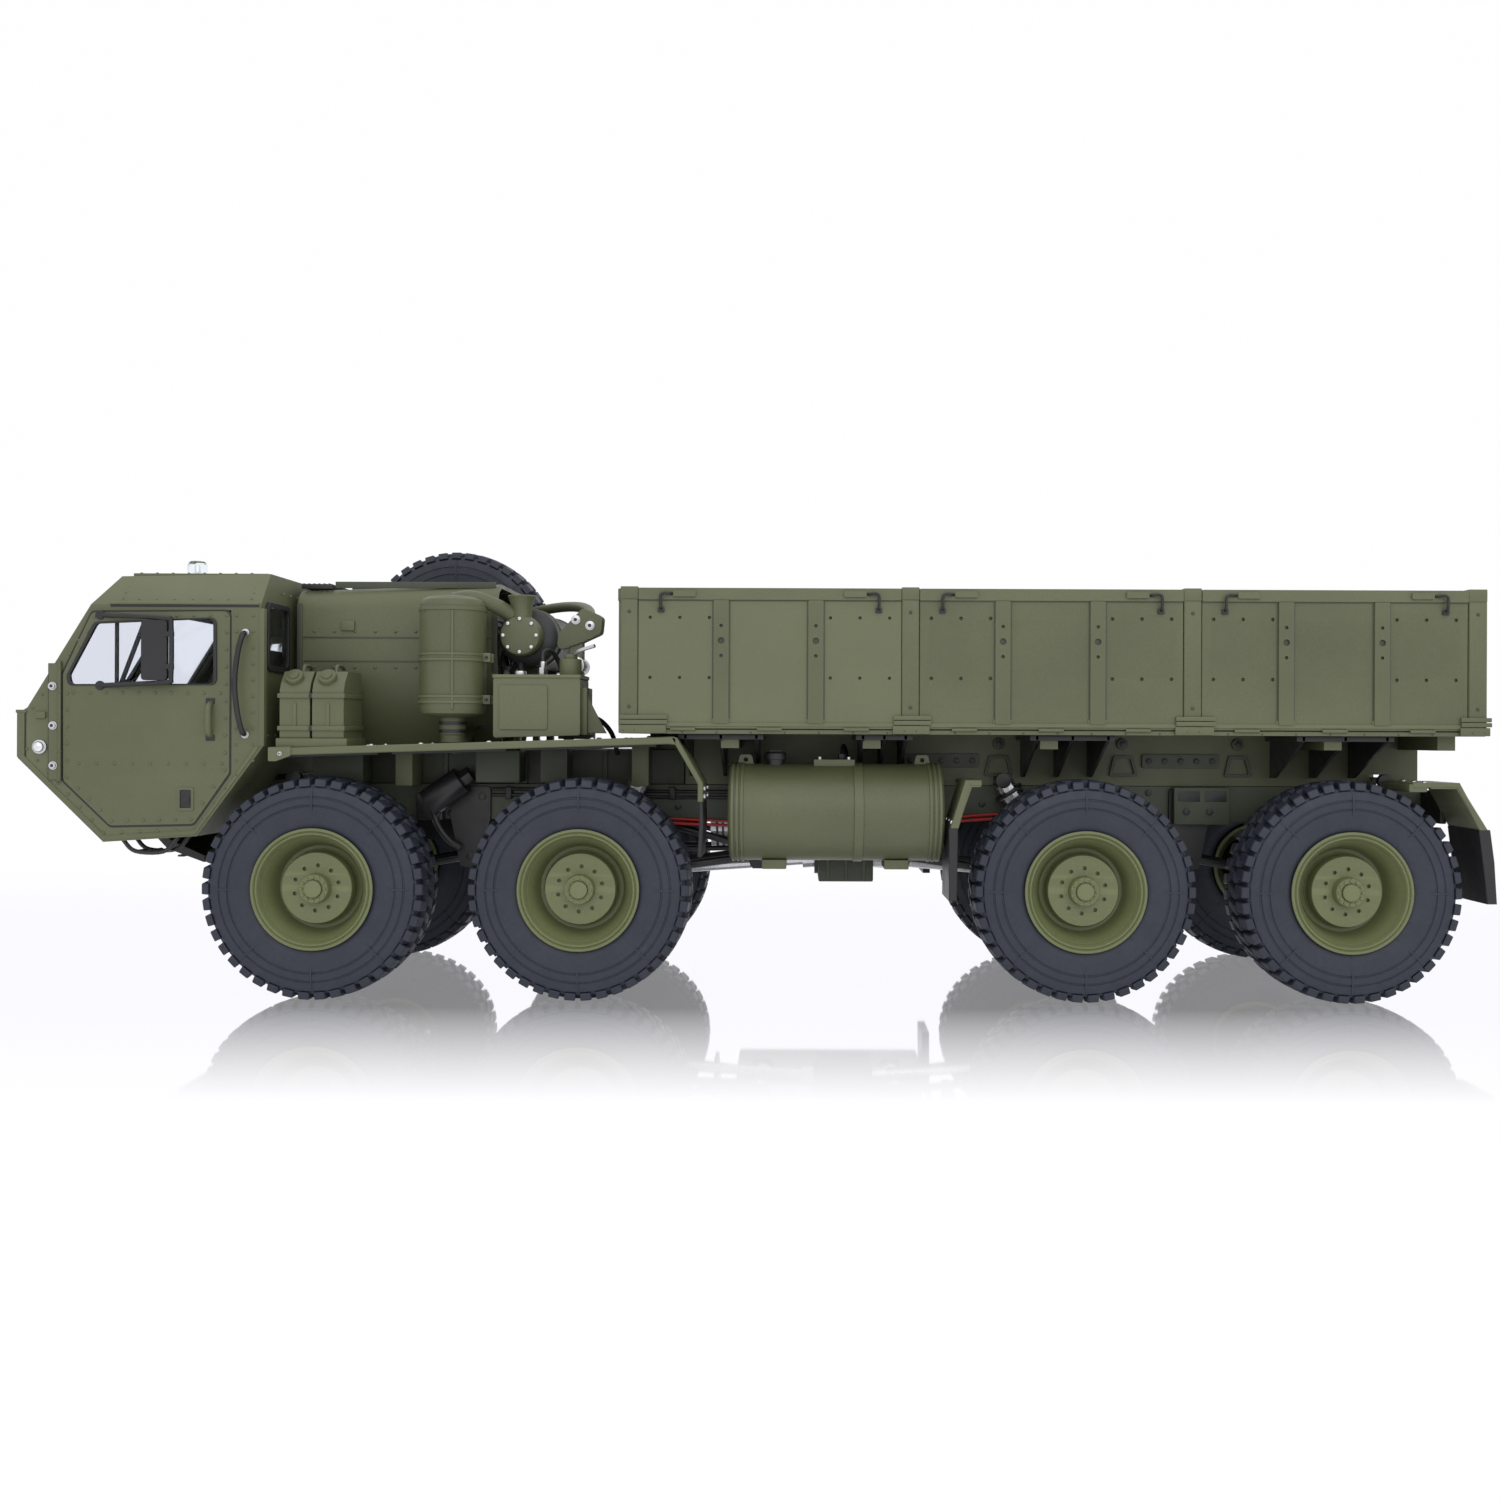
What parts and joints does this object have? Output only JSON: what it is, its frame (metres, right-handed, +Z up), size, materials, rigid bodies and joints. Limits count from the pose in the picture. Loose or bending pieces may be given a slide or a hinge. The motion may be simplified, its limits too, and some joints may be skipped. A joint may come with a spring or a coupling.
{
  "type": "radio-controlled military cargo truck",
  "caption": "Radio-controlled scale military cargo truck with all-wheel drive, tandem axle pairs, a forward cab, an engine cover, a spare wheel and a drop-side cargo body.",
  "frame": {"origin": "centre of the bounding box at the level the tyres stand on", "axes": "+Z up, +X towards the rear of the truck, -Y towards the driver's side"},
  "size_m": [0.8245, 0.2156, 0.2711],
  "materials": {
    "olive_paint": "satin olive drab",
    "rim_olive": "satin yellow olive",
    "frame_olive": "satin olive drab",
    "tyre_rubber": "dry blue-black rubber",
    "black_metal": "satin black",
    "black_plastic": "satin black",
    "steel": "brushed",
    "clear_window": "clear"
  },
  "bodies": {
    "chassis": {"ladder_frame": "frame_olive", "front_bumper": "black_metal", "gearbox": "black_metal", "drive_motor": "steel", "steering_servo": "black_plastic", "battery_pack": "black_plastic", "cab_shell": "olive_paint", "windshield": "clear_window", "cab_interior": "black_plastic", "engine_cover": "olive_paint", "fender_deck_left": "olive_paint", "fender_deck_right": "olive_paint", "jerry_can_rack": "olive_paint", "air_cleaner": "olive_paint", "muffler": "black_metal", "hydraulic_unit": "olive_paint", "spare_tyre": "tyre_rubber", "spare_rim": "rim_olive", "fuel_tank": "olive_paint", "battery_box": "olive_paint", "cargo_bed": "olive_paint", "shock_pair_1": "steel", "shock_pair_2": "steel", "shock_pair_3": "steel", "shock_pair_4": "steel"},
    "axle_1": {"axle_1": "black_metal"},
    "axle_2": {"axle_2": "black_metal"},
    "axle_3": {"axle_3": "black_metal"},
    "axle_4": {"axle_4": "black_metal"},
    "knuckle_1_left": {"knuckle_1_left": "black_metal"},
    "knuckle_1_right": {"knuckle_1_right": "black_metal"},
    "knuckle_2_left": {"knuckle_2_left": "black_metal"},
    "knuckle_2_right": {"knuckle_2_right": "black_metal"},
    "wheel_1_left": {"tyre_1_left": "tyre_rubber", "rim_1_left": "rim_olive"},
    "wheel_1_right": {"tyre_1_right": "tyre_rubber", "rim_1_right": "rim_olive"},
    "wheel_2_left": {"tyre_2_left": "tyre_rubber", "rim_2_left": "rim_olive"},
    "wheel_2_right": {"tyre_2_right": "tyre_rubber", "rim_2_right": "rim_olive"},
    "wheel_3_left": {"tyre_3_left": "tyre_rubber", "rim_3_left": "rim_olive"},
    "wheel_3_right": {"tyre_3_right": "tyre_rubber", "rim_3_right": "rim_olive"},
    "wheel_4_left": {"tyre_4_left": "tyre_rubber", "rim_4_left": "rim_olive"},
    "wheel_4_right": {"tyre_4_right": "tyre_rubber", "rim_4_right": "rim_olive"},
    "prop_shaft_front": {"prop_shaft_front": "steel"},
    "prop_shaft_rear": {"prop_shaft_rear": "steel"},
    "door_left": {"door_left": "olive_paint"},
    "door_right": {"door_right": "olive_paint"},
    "side_panel_1_left": {"side_panel_1_left": "olive_paint"},
    "side_panel_2_left": {"side_panel_2_left": "olive_paint"},
    "side_panel_3_left": {"side_panel_3_left": "olive_paint"},
    "side_panel_1_right": {"side_panel_1_right": "olive_paint"},
    "side_panel_2_right": {"side_panel_2_right": "olive_paint"},
    "side_panel_3_right": {"side_panel_3_right": "olive_paint"},
    "tailgate": {"tailgate": "olive_paint"}
  },
  "joints": [
    {"name": "axle_1_bump", "type": "hinge", "parent": "chassis", "child": "axle_1", "pos_m": [-0.1728, 0, 0.076], "axis": [0, 1, 0], "range_deg": [-2, 2], "stiffness_Nm_per_rad": 60, "springref_deg": -1.15},
    {"name": "axle_2_bump", "type": "hinge", "parent": "chassis", "child": "axle_2", "pos_m": [0.0013, 0, 0.076], "axis": [0, 1, 0], "range_deg": [-1.5, 1.5], "stiffness_Nm_per_rad": 60, "springref_deg": -1.15},
    {"name": "axle_3_bump", "type": "hinge", "parent": "chassis", "child": "axle_3", "pos_m": [0.084, 0, 0.076], "axis": [0, -1, 0], "range_deg": [-1.5, 1.5], "stiffness_Nm_per_rad": 60, "springref_deg": -1.15},
    {"name": "axle_4_bump", "type": "hinge", "parent": "chassis", "child": "axle_4", "pos_m": [0.2581, 0, 0.076], "axis": [0, -1, 0], "range_deg": [-1.5, 1.5], "stiffness_Nm_per_rad": 60, "springref_deg": -1.15},
    {"name": "steer_1_left", "type": "hinge", "parent": "axle_1", "child": "knuckle_1_left", "pos_m": [-0.2469, -0.072, 0.0625], "axis": [0, 0, 1], "range_deg": [-18, 18]},
    {"name": "steer_1_right", "type": "hinge", "parent": "axle_1", "child": "knuckle_1_right", "pos_m": [-0.2469, 0.072, 0.0625], "axis": [0, 0, 1], "range_deg": [-18, 18]},
    {"name": "steer_2_left", "type": "hinge", "parent": "axle_2", "child": "knuckle_2_left", "pos_m": [-0.0987, -0.072, 0.0625], "axis": [0, 0, 1], "range_deg": [-11, 11]},
    {"name": "steer_2_right", "type": "hinge", "parent": "axle_2", "child": "knuckle_2_right", "pos_m": [-0.0987, 0.072, 0.0625], "axis": [0, 0, 1], "range_deg": [-11, 11]},
    {"name": "wheel_1_left_spin", "type": "hinge", "parent": "knuckle_1_left", "child": "wheel_1_left", "pos_m": [-0.2469, -0.083, 0.0625], "axis": [0, 1, 0], "continuous": true},
    {"name": "wheel_1_right_spin", "type": "hinge", "parent": "knuckle_1_right", "child": "wheel_1_right", "pos_m": [-0.2469, 0.083, 0.0625], "axis": [0, 1, 0], "continuous": true},
    {"name": "wheel_2_left_spin", "type": "hinge", "parent": "knuckle_2_left", "child": "wheel_2_left", "pos_m": [-0.0987, -0.083, 0.0625], "axis": [0, 1, 0], "continuous": true},
    {"name": "wheel_2_right_spin", "type": "hinge", "parent": "knuckle_2_right", "child": "wheel_2_right", "pos_m": [-0.0987, 0.083, 0.0625], "axis": [0, 1, 0], "continuous": true},
    {"name": "wheel_3_left_spin", "type": "hinge", "parent": "axle_3", "child": "wheel_3_left", "pos_m": [0.184, -0.083, 0.0625], "axis": [0, 1, 0], "continuous": true},
    {"name": "wheel_3_right_spin", "type": "hinge", "parent": "axle_3", "child": "wheel_3_right", "pos_m": [0.184, 0.083, 0.0625], "axis": [0, 1, 0], "continuous": true},
    {"name": "wheel_4_left_spin", "type": "hinge", "parent": "axle_4", "child": "wheel_4_left", "pos_m": [0.3322, -0.083, 0.0625], "axis": [0, 1, 0], "continuous": true},
    {"name": "wheel_4_right_spin", "type": "hinge", "parent": "axle_4", "child": "wheel_4_right", "pos_m": [0.3322, 0.083, 0.0625], "axis": [0, 1, 0], "continuous": true},
    {"name": "prop_shaft_front_spin", "type": "hinge", "parent": "chassis", "child": "prop_shaft_front", "pos_m": [-0.0225, 0, 0.068], "axis": [0.9976, 0, 0.0688], "continuous": true},
    {"name": "prop_shaft_rear_spin", "type": "hinge", "parent": "chassis", "child": "prop_shaft_rear", "pos_m": [0.11815, 0, 0.068], "axis": [0.9965, 0, -0.0837], "continuous": true},
    {"name": "door_left_swing", "type": "hinge", "parent": "chassis", "child": "door_left", "pos_m": [-0.3884, -0.0992, 0.15], "axis": [0, 0, -1], "range_deg": [0, 65]},
    {"name": "door_right_swing", "type": "hinge", "parent": "chassis", "child": "door_right", "pos_m": [-0.3884, 0.0992, 0.15], "axis": [0, 0, 1], "range_deg": [0, 65]},
    {"name": "side_panel_1_left_drop", "type": "hinge", "parent": "chassis", "child": "side_panel_1_left", "pos_m": [0, -0.1, 0.1526], "axis": [1, 0, 0], "range_deg": [0, 150]},
    {"name": "side_panel_2_left_drop", "type": "hinge", "parent": "chassis", "child": "side_panel_2_left", "pos_m": [0, -0.1, 0.1526], "axis": [1, 0, 0], "range_deg": [0, 150]},
    {"name": "side_panel_3_left_drop", "type": "hinge", "parent": "chassis", "child": "side_panel_3_left", "pos_m": [0, -0.1, 0.1526], "axis": [1, 0, 0], "range_deg": [0, 150]},
    {"name": "side_panel_1_right_drop", "type": "hinge", "parent": "chassis", "child": "side_panel_1_right", "pos_m": [0, 0.1, 0.1526], "axis": [-1, 0, 0], "range_deg": [0, 150]},
    {"name": "side_panel_2_right_drop", "type": "hinge", "parent": "chassis", "child": "side_panel_2_right", "pos_m": [0, 0.1, 0.1526], "axis": [-1, 0, 0], "range_deg": [0, 150]},
    {"name": "side_panel_3_right_drop", "type": "hinge", "parent": "chassis", "child": "side_panel_3_right", "pos_m": [0, 0.1, 0.1526], "axis": [-1, 0, 0], "range_deg": [0, 150]},
    {"name": "tailgate_drop", "type": "hinge", "parent": "chassis", "child": "tailgate", "pos_m": [0.4068, 0, 0.1529], "axis": [0, 1, 0], "range_deg": [0, 150]}
  ],
  "couplings": [
    {"joint": "steer_1_right", "follows": "steer_1_left", "ratio": 1},
    {"joint": "steer_2_left", "follows": "steer_1_left", "ratio": 0.6},
    {"joint": "steer_2_right", "follows": "steer_1_left", "ratio": 0.6},
    {"joint": "wheel_1_left_spin", "follows": "wheel_3_left_spin", "ratio": 1},
    {"joint": "wheel_1_right_spin", "follows": "wheel_3_left_spin", "ratio": 1},
    {"joint": "wheel_2_left_spin", "follows": "wheel_3_left_spin", "ratio": 1},
    {"joint": "wheel_2_right_spin", "follows": "wheel_3_left_spin", "ratio": 1},
    {"joint": "wheel_3_right_spin", "follows": "wheel_3_left_spin", "ratio": 1},
    {"joint": "wheel_4_left_spin", "follows": "wheel_3_left_spin", "ratio": 1},
    {"joint": "wheel_4_right_spin", "follows": "wheel_3_left_spin", "ratio": 1},
    {"joint": "prop_shaft_front_spin", "follows": "wheel_3_left_spin", "ratio": 3},
    {"joint": "prop_shaft_rear_spin", "follows": "wheel_3_left_spin", "ratio": 3}
  ]
}
